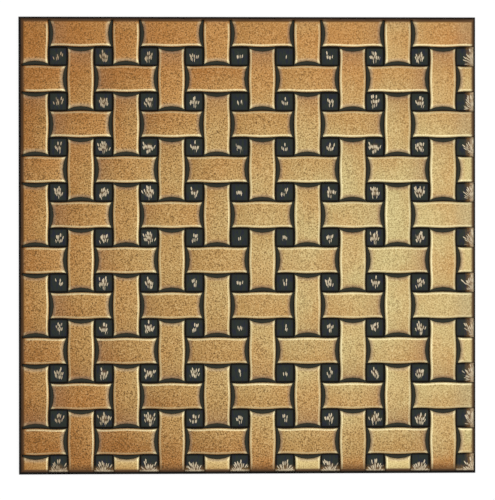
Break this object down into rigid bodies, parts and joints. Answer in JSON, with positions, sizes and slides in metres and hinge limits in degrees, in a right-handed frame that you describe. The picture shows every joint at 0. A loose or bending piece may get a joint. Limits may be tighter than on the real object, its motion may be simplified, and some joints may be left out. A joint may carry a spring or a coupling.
{
  "type": "3d wall panel tile",
  "caption": "Square one-piece decorative wall panel with a deep basketweave relief in antique gold over a dark ground, flat on the back for bonding to a wall.",
  "frame": {"origin": "centre of the flat back face", "axes": "+Z out of the decorated face, +X to the panel's right edge and +Y to its top edge as the picture shows it"},
  "size_m": [0.5, 0.5, 0.012],
  "materials": {
    "panel": "rubbed antique gold on the raised straps, dark slate and brown in the wells and gaps"
  },
  "bodies": {
    "root": {"panel": "panel"}
  },
  "joints": []
}
